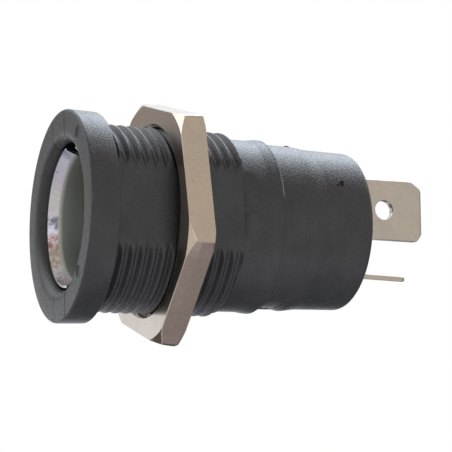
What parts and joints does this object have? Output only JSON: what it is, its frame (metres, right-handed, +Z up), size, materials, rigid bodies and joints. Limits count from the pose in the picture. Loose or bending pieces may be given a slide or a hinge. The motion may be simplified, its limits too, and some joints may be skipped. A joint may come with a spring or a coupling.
{
  "type": "panel power socket",
  "caption": "Round panel-mount power socket: flanged threaded barrel with clamping nut, spring contact sleeve in the mouth and rear blade terminals.",
  "frame": {"origin": "on the socket's axis, in the plane of the flange's back face, which is where the front of the panel lies", "axes": "+X runs along the socket from its mouth to its rear terminals, +Z is up and square to the barrel's two flats' normal, +Y is across the flats"},
  "size_m": [0.0388, 0.0238, 0.0248],
  "materials": {
    "housing": "satin moulded black plastic",
    "hex_nut": "satin nickel plate",
    "earth_jaw_far": "bright spring strip",
    "earth_jaw_near": "bright spring strip",
    "earth_terminal": "tinned sheet",
    "rivet_far": "plated steel",
    "rivet_near": "plated steel",
    "carrier": "moulded black plastic",
    "insulator_bush": "moulded natural plastic",
    "centre_contact": "turned brass",
    "finger_ring": "spring steel",
    "star_washer": "spring steel",
    "live_terminal": "tinned brass",
    "rear_cover": "moulded black plastic"
  },
  "bodies": {
    "socket": {"housing": "housing", "carrier": "carrier", "earth_terminal": "earth_terminal", "rivet_far": "rivet_far", "rivet_near": "rivet_near", "insulator_bush": "insulator_bush", "centre_contact": "centre_contact", "finger_ring": "finger_ring", "star_washer": "star_washer", "live_terminal": "live_terminal", "rear_cover": "rear_cover"},
    "nut": {"hex_nut": "hex_nut"},
    "far_jaw": {"earth_jaw_far": "earth_jaw_far"},
    "near_jaw": {"earth_jaw_near": "earth_jaw_near"}
  },
  "joints": [
    {"name": "nut_travel", "type": "slide", "parent": "socket", "child": "nut", "axis": [1, 0, 0], "range_m": [-0.0058, 0.031]},
    {"name": "far_jaw_flex", "type": "hinge", "parent": "socket", "child": "far_jaw", "pos_m": [0.0131, 0.0062, 0], "axis": [0, 0, -1], "range_deg": [0, 0.5], "stiffness_Nm_per_rad": 6},
    {"name": "near_jaw_flex", "type": "hinge", "parent": "socket", "child": "near_jaw", "pos_m": [0.0131, -0.0062, 0], "axis": [0, 0, 1], "range_deg": [0, 0.5], "stiffness_Nm_per_rad": 6}
  ]
}
